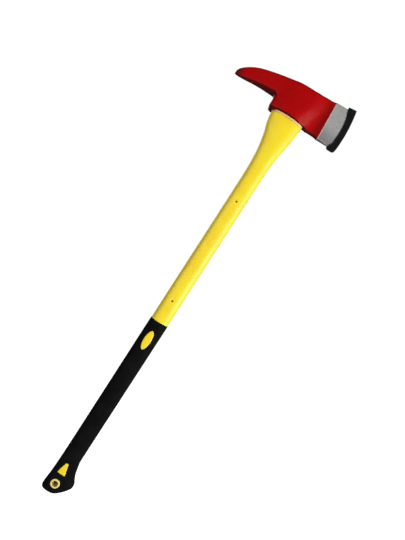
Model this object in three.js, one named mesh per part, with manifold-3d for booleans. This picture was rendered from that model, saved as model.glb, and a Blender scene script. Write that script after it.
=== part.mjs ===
// A pick-head fire axe with a moulded handle, in millimetres, +Z up.
// The origin is on the handle's axis in the plane of the head's underside. +Z runs along the
// handle towards the head, +X points to the cutting edge, and the cheeks face +Y and -Y.

import * as THREE from 'three';
import { mergeVertices } from 'three/addons/utils/BufferGeometryUtils.js';
import { LoftGeometry } from 'three/addons/geometries/LoftGeometry.js';
import Module from 'manifold-3d';

const wasm = await Module();
wasm.setup();

// Driving dimensions -------------------------------------------------------------------------

const GAP = 0.3; // between two pieces that touch
const THROUGH = 40; // more than half the depth of anything that is cut right through
const OVERRUN = 4; // how far a cutting solid runs past the face that it cuts through

const BACK_X = -47.2; // back of the eye, below the pick
const EDGE_X = 103; // the cutting edge at its crown
const EDGE_CROWN_Z = 20;
const EDGE_RADIUS = 300;
const TOP_CORNER_Z = 78.6; // top of the cutting edge
const TOE_Z = -5.7; // lowest point of the cutting edge
const LUG_Z = -2.7; // the eye's back wall hangs this far below the underside

const SWELL_X = -5; // where the cheeks are widest
const SWELL_HALF = 19;
const BLADE_HALF = 5.8;
const EDGE_HALF = 0.3;
const FLANK_LENGTH = 46; // from the swell down to the blade, along X
const FLANK_X = 21; // middle of the flank at the underside
const FLANK_LEAN = 18; // how far the flank's middle moves forward on the way up
const FLANK_LEAN_HEIGHT = 75;
const BEVEL_X = 63; // where the ground bevel starts, at the underside
const BEVEL_LEAN = -0.062; // and how that line leans back, per millimetre of height

const EYE = { centre: -4.5, length: 67.6, width: 28.4, growth: 0.6, power: 2.3 };

// The pick from its root inside the eye to its tip: upper and lower line, and half its thickness.
const PICK = [
  { x: -20, top: 63.5, low: 33, half: 13 },
  { x: -46.6, top: 61.1, low: 24.8, half: 12.6 },
  { x: -77.7, top: 56, low: 22.8, half: 9.4 },
  { x: -96.7, top: 51.2, low: 20.6, half: 7.2 },
  { x: -115.7, top: 43.4, low: 18.2, half: 5 },
  { x: -129, top: 32.2, low: 17.8, half: 3.2 },
  { x: -134.7, top: 24, low: 20, half: 1 },
];
const PICK_AROUND = 32; // points round a pick section
const PICK_SQUARENESS = 0.45; // 1 would make its sections ellipses, 0 rectangles

// The jacket's outside above the grip: how far it reaches back and forward, and half its depth.
const HANDLE_HALF = 13.4;
const SHOULDER_TOP = -3.6;
const FLARE_FOOT = -125;
const SHOULDER = [
  { z: -460, back: 17.7, front: 17.7, half: HANDLE_HALF },
  { z: FLARE_FOOT, back: 17.9, front: 17.7, half: HANDLE_HALF },
  { z: -104, back: 18.8, front: 18.1, half: HANDLE_HALF },
  { z: -73.6, back: 21.9, front: 20.3, half: HANDLE_HALF },
  { z: -43.2, back: 28.2, front: 24.9, half: HANDLE_HALF },
  { z: -28, back: 33.1, front: 26.8, half: HANDLE_HALF },
  { z: -12.9, back: 36.2, front: 28.2, half: HANDLE_HALF },
  { z: SHOULDER_TOP, back: 37.2, front: 28.6, half: HANDLE_HALF },
];
const TONGUE = { back: 35.4, front: 26.8, half: 11.6, top: 59.5, taper: 2.4 };

// The grip's outside, which hooks forward at the butt.
const GRIP_TOP = -453.6;
const STRAIGHT_END = -740;
const BUTT = -834.6;
const GRIP = [
  { z: GRIP_TOP, back: 18.5, front: 18.5, half: 14.2 },
  { z: STRAIGHT_END, back: 18.7, front: 17.7, half: 14.2 },
  { z: -757, back: 18.9, front: 17.7, half: 14.2 },
  { z: -773, back: 19.1, front: 20.2, half: 14.2 },
  { z: -786, back: 19.4, front: 23.3, half: 14.2 },
  { z: -797, back: 19.9, front: 28.2, half: 14.2 },
  { z: -803.5, back: 20.2, front: 31.4, half: 14.2 },
  { z: -807, back: 20.4, front: 31.4, half: 14.2 },
  { z: -811, back: 20.8, front: 29.4, half: 14.1 },
  { z: -819, back: 21.5, front: 23.4, half: 13.8 },
  { z: -827, back: 21.8, front: 15.6, half: 12.8 },
  { z: -831, back: 20.8, front: 11, half: 11.2 },
  { z: -833.6, back: 18, front: 6.4, half: 8.8 },
  { z: BUTT, back: 14.4, front: 2, half: 5.4 },
];
const GRIP_WALL = 2.6;

const CORE = { halfX: 12.5, halfY: 8.4, bottom: -778, top: 59.2 };
const LOCATOR = { radius: 2.1, heights: [-186, -407] };

const OVAL_WINDOW = { z: -493.3, length: 39.5, width: 14.8, power: 1.95 };
const TEAR_WINDOW = {
  x: -0.5, top: -767, bottom: -790.4, width: 16.2, lean: 0.21, topRadius: 3.4, footRadius: 2,
};
const FLUSH_DEPTH = 0.2; // how far the jacket's bosses stop below the grip's surface
const HANG_HOLE = { z: -811, outer: 9.5, bore: 5.4, halfLength: 14.5, round: 0.8 };

const SEAL = { back: 37.7, front: 28.8, half: 13.8, low: SHOULDER_TOP + GAP, high: 5 };
const RESIN = { low: SEAL.high + GAP, top: 61.8 };

const GUARD = { wall: 2.3, nose: 2.8, overhang: 4.4, lip: 82.4, lipDrop: 3, open: 100 };

// How square the handle's sections are: 2 is an ellipse.
const HANDLE_POWER = 2.6;
const BUTT_POWER = 2.8;
const AROUND = 32; // points round a handle section
const HALF_PLAN = 36; // points along one cheek of a head section

// Solids -------------------------------------------------------------------------------------

function solidOf(geometry) {
  const bare = new THREE.BufferGeometry();
  bare.setAttribute('position', geometry.attributes.position);
  bare.setIndex(geometry.index);
  const merged = mergeVertices(bare, 1e-4);
  return new wasm.Manifold(new wasm.Mesh({
    numProp: 3,
    vertProperties: new Float32Array(merged.attributes.position.array),
    triVerts: new Uint32Array(merged.index.array),
  }));
}

function meshOf(name, solid, look) {
  const { vertProperties, triVerts } = solid.getMesh();
  const geometry = new THREE.BufferGeometry();
  geometry.setAttribute('position', new THREE.BufferAttribute(vertProperties, 3));
  geometry.setIndex(new THREE.BufferAttribute(triVerts, 1));
  geometry.computeVertexNormals();
  const mesh = new THREE.Mesh(geometry, new THREE.MeshStandardMaterial(look));
  mesh.name = name;
  return mesh;
}

function loft(sections) {
  return solidOf(new LoftGeometry(sections, { capStart: true, capEnd: true }));
}

// A side-view outline, drawn in X and Z, made into a slab that runs through the object along Y.
function sideSlab(shape) {
  const geometry = new THREE.ExtrudeGeometry(shape, {
    depth: 2 * THROUGH,
    bevelEnabled: false,
    curveSegments: 16,
  });
  geometry.rotateX(Math.PI / 2);
  geometry.translate(0, THROUGH, 0);
  return solidOf(geometry);
}

// The given fields of the rows as one smooth function of the field that places them.
function smoothTable(rows, place, fields) {
  const ordered = [...rows].sort((a, b) => a[place] - b[place]);
  const interpolant = new THREE.CubicInterpolant(
    ordered.map((row) => row[place]),
    ordered.flatMap((row) => fields.map((field) => row[field])),
    fields.length,
  );
  return (at) => {
    const values = interpolant.evaluate(at);
    return Object.fromEntries(fields.map((field, i) => [field, values[i]]));
  };
}

function spread(from, to, steps) {
  return Array.from({ length: steps + 1 }, (_, i) => THREE.MathUtils.lerp(from, to, i / steps));
}

// An oval in the XY plane at height z, between -back and front, counterclockwise from above.
function ovalSection(z, { back, front, half }, power, grow = 0) {
  const centre = (front - back) / 2;
  const halfLength = (front + back) / 2 + grow;
  return Array.from({ length: AROUND }, (_, i) => {
    const turn = (2 * Math.PI * i) / AROUND;
    const c = Math.cos(turn);
    const s = Math.sin(turn);
    return new THREE.Vector3(
      centre + halfLength * Math.sign(c) * Math.abs(c) ** (2 / power),
      (half + grow) * Math.sign(s) * Math.abs(s) ** (2 / power),
      z,
    );
  });
}

// Head ---------------------------------------------------------------------------------------

function edgeX(z) {
  return EDGE_X - (z - EDGE_CROWN_Z) ** 2 / (2 * EDGE_RADIUS);
}

function bevelX(z) {
  return BEVEL_X + BEVEL_LEAN * z;
}

// Half the head's thickness at a point of its side view: a rounded eye, a flank that leans
// forward on the way up, a flat blade and a ground bevel.
function cheekHalf(x, z) {
  if (x < SWELL_X) {
    const t = Math.min(1, (SWELL_X - x) / (SWELL_X - BACK_X));
    return SWELL_HALF * Math.sqrt(1 - t * t);
  }
  const rise = THREE.MathUtils.clamp(z / FLANK_LEAN_HEIGHT, 0, 1);
  const middle = FLANK_X + FLANK_LEAN * Math.sin((rise * Math.PI) / 2);
  const fall = THREE.MathUtils.smoothstep(x, middle - FLANK_LENGTH / 2, middle + FLANK_LENGTH / 2);
  const cheek = THREE.MathUtils.lerp(SWELL_HALF, BLADE_HALF, fall);
  const start = bevelX(z);
  if (x < start) {
    return cheek;
  }
  const ground = (x - start) / (edgeX(z) - start);
  return Math.max(EDGE_HALF, THREE.MathUtils.lerp(BLADE_HALF, EDGE_HALF, ground));
}

// The head's plan at one height. grow thickens it evenly, reach moves the edge forward.
function planSection(z, grow = 0, reach = 0) {
  const front = edgeX(z) + reach;
  const middle = (front + BACK_X) / 2;
  const halfLength = (front - BACK_X) / 2;
  return Array.from({ length: 2 * HALF_PLAN }, (_, i) => {
    const turn = (Math.PI * i) / HALF_PLAN;
    const x = middle + halfLength * Math.cos(turn);
    const side = Math.sign(Math.round(Math.sin(turn) * 1e6));
    return new THREE.Vector3(x, side * (cheekHalf(x, z) + grow), z);
  });
}

function bodyOutline() {
  const outline = new THREE.Shape();
  outline.moveTo(BACK_X - 2, 4);
  outline.lineTo(BACK_X, 4);
  outline.quadraticCurveTo(BACK_X + 0.4, LUG_Z, BACK_X + 6, LUG_Z);
  outline.lineTo(-36, LUG_Z);
  outline.quadraticCurveTo(-33, 0, -27, 0);
  outline.lineTo(66, 0);
  outline.quadraticCurveTo(78, -0.4, 86, -3.4);
  outline.quadraticCurveTo(92, TOE_Z, 98, TOE_Z);
  outline.quadraticCurveTo(EDGE_X, TOE_Z, EDGE_X, 0);
  outline.lineTo(EDGE_X + 2, 0);
  outline.lineTo(EDGE_X + 2, TOP_CORNER_Z);
  outline.lineTo(97, TOP_CORNER_Z);
  outline.splineThru([
    new THREE.Vector2(59, 73),
    new THREE.Vector2(36, 68.3),
    new THREE.Vector2(17, 65.6),
    new THREE.Vector2(-2, 64.4),
    new THREE.Vector2(-21, 63.5),
    new THREE.Vector2(BACK_X - 1, 61),
  ]);
  outline.lineTo(BACK_X - 2, 4);
  return outline;
}

function pickSolid() {
  const line = smoothTable(PICK, 'x', ['top', 'low', 'half']);
  const root = PICK[0].x;
  const tip = PICK[PICK.length - 1].x;
  const stations = spread(0, Math.PI / 2, 18).map((turn) => root + (tip - root) * Math.sin(turn));
  return loft(stations.map((x) => {
    const { top, low, half } = line(x);
    return Array.from({ length: PICK_AROUND }, (_, i) => {
      const turn = (2 * Math.PI * i) / PICK_AROUND;
      const c = Math.cos(turn);
      const s = Math.sin(turn);
      return new THREE.Vector3(
        x,
        -half * Math.sign(c) * Math.abs(c) ** PICK_SQUARENESS,
        (top + low) / 2 + ((top - low) / 2) * Math.sign(s) * Math.abs(s) ** PICK_SQUARENESS,
      );
    });
  }));
}

function eyeHole(low, high, grow = 0) {
  const at = (z) => ({
    back: EYE.length / 2 - EYE.centre,
    front: EYE.length / 2 + EYE.centre,
    half: EYE.width / 2 + (EYE.growth * z) / TOP_CORNER_Z,
  });
  return loft(spread(low, high, 3).map((z) => ovalSection(z, at(z), EYE.power, grow)));
}

function headSolid() {
  const low = LUG_Z - 2 * OVERRUN;
  const high = TOP_CORNER_Z + OVERRUN;
  const body = loft(spread(low, high, 9).map((z) => planSection(z)));
  return body.intersect(sideSlab(bodyOutline())).add(pickSolid()).subtract(eyeHole(low, high));
}

// Blade guard --------------------------------------------------------------------------------

// The space that the blade needs inside the guard: the blade with a little clearance, with a
// level floor so that the guard pulls straight off, and open above, where the strip is cut square.
function bladeSpace() {
  const floor = TOE_Z - GAP;
  const space = loft(spread(floor, GUARD.open, 10).map((z) => planSection(z, GAP, GAP)));
  const outline = new THREE.Shape();
  outline.moveTo(70, GUARD.open);
  outline.lineTo(70, floor);
  outline.lineTo(99, floor);
  outline.quadraticCurveTo(EDGE_X + GAP, floor, EDGE_X + 2, 0);
  outline.lineTo(EDGE_X + 2, GUARD.open);
  return space.intersect(sideSlab(outline));
}

// The strip's side view: its lips and its nose both follow the cutting edge.
function guardOutline() {
  const top = TOP_CORNER_Z + GUARD.overhang;
  const toe = TOE_Z - GUARD.wall - GAP;
  const nose = (z) => edgeX(z) + GUARD.nose;
  const outline = new THREE.Shape();
  outline.moveTo(GUARD.lip, top - GUARD.lipDrop);
  outline.splineThru([
    new THREE.Vector2(86.6, 68),
    new THREE.Vector2(91, 55),
    new THREE.Vector2(93.3, 31),
    new THREE.Vector2(93.2, 12),
    new THREE.Vector2(90.8, 2),
    new THREE.Vector2(87.2, -4.4),
  ]);
  outline.quadraticCurveTo(88.5, toe, 93, toe);
  outline.lineTo(98, toe);
  outline.quadraticCurveTo(nose(2), toe, nose(2), 3);
  outline.splineThru([20, 40, 60, top].map((z) => new THREE.Vector2(nose(z), z)));
  outline.lineTo(GUARD.lip, top - GUARD.lipDrop);
  return outline;
}

function guardSolid() {
  const reach = GUARD.nose + GAP;
  const skin = loft(spread(TOE_Z - 2 * OVERRUN, TOP_CORNER_Z + 2 * OVERRUN, 10).map(
    (z) => planSection(z, GUARD.wall, reach),
  ));
  return skin.intersect(sideSlab(guardOutline())).subtract(bladeSpace());
}

// Handle -------------------------------------------------------------------------------------

const gripAt = smoothTable(GRIP, 'z', ['back', 'front', 'half']);
const shoulderAt = smoothTable(SHOULDER, 'z', ['back', 'front', 'half']);

const STRAIGHT_GRIP = spread(GRIP_TOP, STRAIGHT_END, 2);
const HOOK_HEIGHTS = [-757, -773, -786, -797, -801, -803.5, -807, -809, -814, -819, -823, -827,
  -830, -832, -833.6, BUTT];

function gripPower(z) {
  const hooked = THREE.MathUtils.clamp((STRAIGHT_END - z) / 60, 0, 1);
  return THREE.MathUtils.lerp(HANDLE_POWER, BUTT_POWER, hooked);
}

// The grip's outside from its top to the butt, thinned by inset all round.
function gripBody(inset, top) {
  const rows = [...STRAIGHT_GRIP, ...HOOK_HEIGHTS].reverse();
  const heights = rows.map((z) => THREE.MathUtils.mapLinear(z, BUTT, GRIP_TOP, BUTT + inset, top));
  return loft(heights.map((z, i) => ovalSection(z, gripAt(rows[i]), gripPower(rows[i]), -inset)));
}

function shoulderBody() {
  const heights = [GRIP_TOP + GAP, ...spread(FLARE_FOOT, SHOULDER_TOP, 13)];
  return loft(heights.map((z) => ovalSection(z, shoulderAt(z), HANDLE_POWER)));
}

function tongueBody(grow = 0, low = SHOULDER_TOP - 1) {
  const at = (z) => {
    const narrowing = (TONGUE.taper * Math.max(0, z)) / TONGUE.top;
    return {
      back: TONGUE.back - narrowing,
      front: TONGUE.front - narrowing,
      half: TONGUE.half - narrowing / 2,
    };
  };
  return loft([low, 0, TONGUE.top + grow].map((z) => ovalSection(z, at(z), EYE.power, grow)));
}

function coreBody(grow = 0, high = CORE.top) {
  const half = { back: CORE.halfX, front: CORE.halfX, half: CORE.halfY };
  return loft([CORE.bottom - grow, high].map((z) => ovalSection(z, half, HANDLE_POWER, grow)));
}

function ovalWindow(grow = 0) {
  const outline = new THREE.Shape(Array.from({ length: 48 }, (_, i) => {
    const turn = (2 * Math.PI * i) / 48;
    const c = Math.cos(turn);
    const s = Math.sin(turn);
    return new THREE.Vector2(
      (OVAL_WINDOW.width / 2 + grow) * Math.sign(c) * Math.abs(c) ** (2 / OVAL_WINDOW.power),
      OVAL_WINDOW.z
        + (OVAL_WINDOW.length / 2 + grow) * Math.sign(s) * Math.abs(s) ** (2 / OVAL_WINDOW.power),
    );
  }));
  return sideSlab(outline);
}

// A tear-shaped window: a round top and two rounded feet, joined by straight sides.
function tearWindow(grow = 0) {
  const { x, top, bottom, width, lean, topRadius, footRadius } = TEAR_WINDOW;
  const crown = topRadius + grow;
  const foot = footRadius + grow;
  const footX = width / 2 - footRadius;
  const outline = new THREE.Shape();
  outline.absarc(x, top - topRadius, crown, lean, Math.PI - lean, false);
  outline.absarc(x - footX, bottom + footRadius, foot, Math.PI - lean, 1.5 * Math.PI, false);
  outline.absarc(x + footX, bottom + footRadius, foot, 1.5 * Math.PI, 2 * Math.PI + lean, false);
  return sideSlab(outline);
}

function crossCylinder(radius, z, halfLength) {
  const geometry = new THREE.CylinderGeometry(radius, radius, 2 * halfLength, 40);
  geometry.translate(0, 0, z);
  return solidOf(geometry);
}

function jacketSolid() {
  const windows = ovalWindow().add(tearWindow());
  const inside = gripBody(GRIP_WALL, GRIP_TOP + OVERRUN / 2);
  const flush = gripBody(FLUSH_DEPTH, GRIP_TOP - FLUSH_DEPTH);
  let jacket = shoulderBody().add(tongueBody()).add(inside).add(windows.intersect(flush));
  jacket = jacket.subtract(coreBody(GAP, TONGUE.top + OVERRUN));
  for (const height of LOCATOR.heights) {
    jacket = jacket.subtract(crossCylinder(LOCATOR.radius, height, THROUGH));
  }
  return jacket.subtract(crossCylinder(HANG_HOLE.outer + GAP, HANG_HOLE.z, THROUGH));
}

function gripSolid() {
  const hollow = gripBody(GRIP_WALL - GAP, GRIP_TOP + OVERRUN);
  const windows = ovalWindow(GAP).add(tearWindow(GAP));
  const ring = crossCylinder(HANG_HOLE.outer + GAP, HANG_HOLE.z, THROUGH);
  return gripBody(0, GRIP_TOP).subtract(hollow).subtract(windows).subtract(ring);
}

function bushingSolid() {
  const { outer, bore, halfLength, round } = HANG_HOLE;
  const profile = [
    new THREE.Vector2(bore, -halfLength + round),
    new THREE.Vector2(bore + round, -halfLength),
    new THREE.Vector2(outer - round, -halfLength),
    new THREE.Vector2(outer, -halfLength + round),
    new THREE.Vector2(outer, halfLength - round),
    new THREE.Vector2(outer - round, halfLength),
    new THREE.Vector2(bore + round, halfLength),
    new THREE.Vector2(bore, halfLength - round),
  ];
  const geometry = new THREE.LatheGeometry([...profile, profile[0]], 40);
  geometry.translate(0, 0, HANG_HOLE.z);
  return solidOf(geometry);
}

// Eye filling --------------------------------------------------------------------------------

function sealSolid() {
  const round = [0.9, 0.2, 0, 0, 0.6];
  const outer = loft(spread(SEAL.low, SEAL.high, 4).map(
    (z, i) => ovalSection(z, SEAL, EYE.power, -round[i]),
  ));
  return outer.subtract(tongueBody(GAP, SHOULDER_TOP - OVERRUN));
}

function resinSolid() {
  return eyeHole(RESIN.low, RESIN.top, -GAP).subtract(tongueBody(GAP));
}

// Assembly -----------------------------------------------------------------------------------

const RED_ENAMEL = { color: 0xa50e0f, roughness: 0.35, metalness: 0.1 };
const BLACK_RUBBER = { color: 0x1b1a1b, roughness: 0.8, metalness: 0 };
const YELLOW_PLASTIC = { color: 0xf7dc2d, roughness: 0.4, metalness: 0 };
const GLASS_FIBRE = { color: 0xb9a878, roughness: 0.6, metalness: 0 };
const RESIN_AMBER = { color: 0xc9a24a, roughness: 0.3, metalness: 0 };
const SEAL_CREAM = { color: 0xf2cf94, roughness: 0.6, metalness: 0 };

const axe = new THREE.Group();
axe.add(meshOf('axe_head', headSolid(), RED_ENAMEL));
axe.add(meshOf('blade_guard', guardSolid(), BLACK_RUBBER));
axe.add(meshOf('handle_core', coreBody(), GLASS_FIBRE));
axe.add(meshOf('handle_jacket', jacketSolid(), YELLOW_PLASTIC));
axe.add(meshOf('grip_sleeve', gripSolid(), BLACK_RUBBER));
axe.add(meshOf('hang_hole_bushing', bushingSolid(), YELLOW_PLASTIC));
axe.add(meshOf('eye_seal', sealSolid(), SEAL_CREAM));
axe.add(meshOf('eye_resin', resinSolid(), RESIN_AMBER));

export default axe;
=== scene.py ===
"""The looks of the pick-head fire axe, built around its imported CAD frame.

Shapes are worked out in millimetres in the row frame and written to the meshes in metres:
+Z runs along the handle towards the head, +X points to the cutting edge, the cheeks face +Y and -Y.
"""

import math

import bmesh
import bpy
import numpy as np
from mathutils import Matrix, Vector


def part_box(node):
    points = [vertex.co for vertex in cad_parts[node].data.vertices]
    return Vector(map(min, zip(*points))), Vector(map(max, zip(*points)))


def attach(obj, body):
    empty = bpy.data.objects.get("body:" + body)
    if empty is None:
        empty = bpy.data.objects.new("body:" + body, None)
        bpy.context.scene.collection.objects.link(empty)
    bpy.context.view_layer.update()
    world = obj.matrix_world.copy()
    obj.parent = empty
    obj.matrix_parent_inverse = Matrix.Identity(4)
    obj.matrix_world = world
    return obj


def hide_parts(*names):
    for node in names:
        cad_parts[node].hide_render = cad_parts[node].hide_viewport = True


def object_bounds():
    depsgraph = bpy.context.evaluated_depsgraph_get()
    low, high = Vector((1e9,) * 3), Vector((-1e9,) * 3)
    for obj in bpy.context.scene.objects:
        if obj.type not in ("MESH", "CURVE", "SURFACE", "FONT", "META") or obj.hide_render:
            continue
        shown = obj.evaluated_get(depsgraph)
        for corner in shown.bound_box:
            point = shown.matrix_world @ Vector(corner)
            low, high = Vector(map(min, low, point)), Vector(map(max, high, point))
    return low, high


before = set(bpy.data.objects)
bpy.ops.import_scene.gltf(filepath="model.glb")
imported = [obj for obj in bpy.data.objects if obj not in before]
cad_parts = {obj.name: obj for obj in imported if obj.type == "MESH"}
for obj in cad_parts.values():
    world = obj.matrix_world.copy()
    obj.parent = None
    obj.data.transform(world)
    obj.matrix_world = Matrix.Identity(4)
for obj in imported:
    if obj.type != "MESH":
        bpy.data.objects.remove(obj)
cad_low, cad_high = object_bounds()

MM = 0.001


def box_mm(node):
    """A CAD node's lowest and highest corner, in millimetres."""
    low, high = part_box(node)
    return np.array(low) / MM, np.array(high) / MM


HEAD_LOW, HEAD_HIGH = box_mm("axe_head")
GUARD_LOW, GUARD_HIGH = box_mm("blade_guard")
GRIP_LOW, GRIP_HIGH = box_mm("grip_sleeve")
CORE_LOW, CORE_HIGH = box_mm("handle_core")
RING_LOW, RING_HIGH = box_mm("hang_hole_bushing")
SEAL_LOW, SEAL_HIGH = box_mm("eye_seal")
RESIN_LOW, RESIN_HIGH = box_mm("eye_resin")

# Head, side view
TIP_X = HEAD_LOW[0]
EDGE_X = HEAD_HIGH[0]
TOP_CORNER_Z = HEAD_HIGH[2]
TOE_Z = HEAD_LOW[2]
BACK_X = -47.2  # back wall of the eye, below the pick
NOTCH_RADIUS = 7  # where the pick turns down into that wall
LUG_Z = -2.7  # foot of that wall
LUG_RADIUS = 5.3
UNDER_Z = -2.6  # underside from the eye to the guard
EDGE_CROWN_Z = 20  # where the cutting edge is furthest forward
EDGE_RADIUS = 300

# Head, plan
SWELL_HALF = HEAD_HIGH[1]  # half the thickness at the eye
SWELL_X = -5  # where it is widest
FLANK_X = 21  # middle of the flank between swell and blade, at z = 0
FLANK_LEAN = 18  # forward, on the way up
FLANK_LEAN_HEIGHT = 75
FLANK_LENGTH = 46
BLADE_HALF = 5.8
BLADE_HOLLOW = 0.5
HOLLOW_FADE = 11  # length of its run-out
BEVEL_X = 63  # where the ground bevel starts, at z = 0
BEVEL_LEAN = -0.062
BEVEL_TOP_Z = 72.6  # about where it meets the top of the head
BEVEL_POWER = 0.94  # 1 is flat, less is hollow
EDGE_HALF = 0.28
EYE = {"centre": -4.5, "half_length": 33.8, "half_width": 14.2, "growth": 0.0076, "power": 2.3}

# x, upper line
TOP_LINE = [
    (TIP_X, 25.8), (-133, 29.6), (-129, 34.4), (-123, 39.6), (-115.7, 44.6), (-106, 49.4), (-96.7, 52.7),
    (-77.7, 57.3), (-58.7, 60.9), (-39.8, 63.3), (-20.8, 64.4), (-1.8, 65.2), (17, 66.3), (28, 67.6),
    (42, 71), (59, 74.2), (81.6, 76.6), (EDGE_X, 79.4),
]
# x, lower line of the pick
PICK_LINE = [(TIP_X, 18.8), (-129, 18.1), (-115, 18.9), (-96.8, 21.2), (-75, 22.8), (-53, 23.2)]
# x, half the thickness behind the swell's middle
PICK_HALF = [
    (TIP_X, 1.8), (-131, 3), (-124, 4.2), (-110, 5.8), (-96.7, 7.3), (-77.7, 9.5), (-60, 11.4),
    (-46.6, 13), (-34, 15.4), (-22, 17.7), (-12, 18.8), (SWELL_X, SWELL_HALF),
]

# x, how far in the head's edges start to round
UPPER_ROUND = [(TIP_X, 2.2), (-120, 4.6), (-60, 6.4), (30, 6.4), (55, 4.4), (62, 1), (EDGE_X, 0.3)]
LOWER_ROUND = [
    (TIP_X, 2.4), (-120, 4.4), (-100, 5.6), (-75, 7), (-50, 8), (-38, 6.5), (-28, 3), (30, 3),
    (40, 5), (56, 5), (64, 1.2), (EDGE_X, 0.3),
]
UPPER_DROP = 0.7  # depth of the rounding as a share of its width
LOWER_DROP = 0.8
LEAST_DROP = 0.2
MOST_DROP = 0.9  # share of half the thickness
EYE_DROP = 0.6  # where the eye comes close to the edge
EDGE_FALL = 2.4  # power of the rounding
EDGE_BLEND = 2  # the two kinds of rounding blend this far each way
HEAD_MIDDLE_Z = 34  # parts the upper edges from the lower ones
EYE_RIM = 1.2  # left flat beside the eye
FORGED_WAVES = [(0.14, 26, 0.4), (0.07, 9, 2.2)]  # height, size, seed
FORGED_FADE = 3  # length of their run-out before the bevel
FORGED_HALF = 6  # below this half thickness they are lower

# The head's grid of ribs, from tip to edge
RIBS = {"pick": 64, "back": 44, "lug": 5, "eye": 56, "blade": 30, "bevel": 37}
TIP_CROWDING = 1.5  # ribs lie closer towards the tip
RIB_END = 2.6  # length that has close points
RIB_END_STEPS = 7
RIB_MIDDLE_STEPS = 42
SHORT_RIB = 9  # a shorter rib has shorter ends
BEND_REACH = 6  # ribs this close to the edge bend as it does
SIDE_COLUMNS = 9  # between the eye and the head's edge

# Handle: height, reach back, reach forward, half depth
SHOULDER = [
    (-460, 17.7, 17.7, 13.4), (-140, 17.7, 17.6, 13.4), (-122, 18, 17.7, 13.4), (-104, 18.8, 18.1, 13.4),
    (-88.7, 20, 18.9, 13.4), (-73.6, 21.9, 20.3, 13.4), (-58.4, 24.7, 22.6, 13.4),
    (-43.2, 28.2, 24.9, 13.4), (-28, 33, 26.8, 13.4), (-12.9, 36.1, 28.2, 13.4),
    (-3.6, 37.2, 28.6, 13.4),
]
SHOULDER_TOP = -3.6
FLARE_FOOT = -122
TONGUE_TOP = 59.5
TONGUE = [(SHOULDER_TOP, 35.4, 26.8, 11.6), (0, 35.4, 26.8, 11.6), (TONGUE_TOP, 33, 24.4, 10.4)]
GRIP_TOP = GRIP_HIGH[2]
BUTT = GRIP_LOW[2]
GRIP = [
    (GRIP_TOP, 18.5, 18.5, 14.2), (-600, 18.6, 18.2, 14.2), (-740, 18.7, 17.7, 14.2),
    (-757, 18.9, 17.7, 14.2), (-765, 19, 18.6, 14.2), (-773, 19.1, 20.2, 14.2), (-786, 19.4, 23.3, 14.2),
    (-797, 19.9, 28.2, 14.2), (-803.5, 20.2, 31.4, 14.2), (-807, 20.4, 31.4, 14.2),
    (-811, 20.8, 29.4, 14.1), (-819, 21.5, 23.4, 13.8), (-827, 21.8, 15.6, 12.8), (-831, 20.8, 11, 11.2),
    (-833.6, 18, 6.4, 8.8), (BUTT, 14.4, 2, 5.4),
]
GRIP_WALL = 2.6
HANDLE_POWER = 2.6  # of its section: 2 is an ellipse, more is squarer
BUTT_POWER = 2.8
BUTT_SPAN = (-800, -740)  # where the section changes
CORE_POWER = 2.6

# Windows and holes in the handle's faces
OVAL_WINDOW = {"z": -493.3, "length": 39.5, "width": 14.8, "power": 1.95}
TEAR_WINDOW = {
    "x": -0.5, "top": -767, "foot": -790.4, "width": 16.2, "crown": 3.4, "corner": 2, "lean": 0.21,
}
OVAL_SPAN = OVAL_WINDOW["length"] / 2 + 2
WINDOW_SPANS = [
    (OVAL_WINDOW["z"] - OVAL_SPAN, OVAL_WINDOW["z"] + OVAL_SPAN),
    (BUTT, TEAR_WINDOW["top"] + 2),
]
LOCATOR_RADIUS = 2.2
LOCATOR_SPAN = 2.8  # of close rows, each way
LOCATOR_HEIGHTS = (-186, -407)
RING_Z = (RING_LOW[2] + RING_HIGH[2]) / 2
RING_RADIUS = (RING_HIGH[0] - RING_LOW[0]) / 2 - 0.4
RING_BORE = 5.4
RING_RIM = (1.1, 1.5, 0.1, 1.8)  # inner round, outer round, fall, outer depth

# Clearances and rounded lips
GAP = 0.3  # where no other is named
GRIP_GAP = 0.1
RING_GAP = 0.2
BOSS_GAP = 0.15
BOSS_SINK = 0.25  # below the rubber's surface
BOSS_LIP = 0.5
WINDOW_LIP = 0.8
GRIP_TOP_LIP = 0.9
GRIP_LIP_PULL = 0.02  # share of x lost for each millimetre of lip
JACKET_LIP = 0.5
SHOULDER_LIP = 1.2
LIP_REACH = 3  # more than any lip's radius
SEAM_RISE = 0.12  # the mould's parting line
SEAM_SPREAD = 0.45

# Rows along the handle
GRIP_STEP = 5
WINDOW_STEP = 0.62
JACKET_STEP = 6
LOCATOR_STEP = 0.6
SHOULDER_RIM = 2  # keeps all of its close rows

# Columns round the handle, evenly spaced across the middle of each face
FACE_REACH = 11.4
FACE_SHARE = 0.7  # of the section's reach, at most
FACE_STEPS = 38
SIDE_STEPS = 13
COLUMNS = 2 * (FACE_STEPS + 2 * SIDE_STEPS)
FACE_Y = 4  # a face's points are further out
SNAP = 0.45  # points this close to an outline move to it

# Guard
GUARD_TOP = GUARD_HIGH[2]
GUARD_TOE = GUARD_LOW[2]
GUARD_SIDE = 2.3  # thickness beside the blade
GUARD_FLOOR = 2.2  # thickness ahead of the edge
GUARD_ROUND = 0.9
SLOT_GAP = 0.22
SLOT_LEAST = 0.6  # depth of the slot where the strip is shallow
SLOT_TAPER = 0.5  # share of its width at its floor
# height, x of the lips
GUARD_LIP = [
    (GUARD_TOP - 3, 82.6), (75, 83.8), (68, 86.6), (61, 89), (54, 91), (42, 92.6), (31, 93.3),
    (12, 93.3), (7, 92.7), (3.2, 91.4),
]

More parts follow.
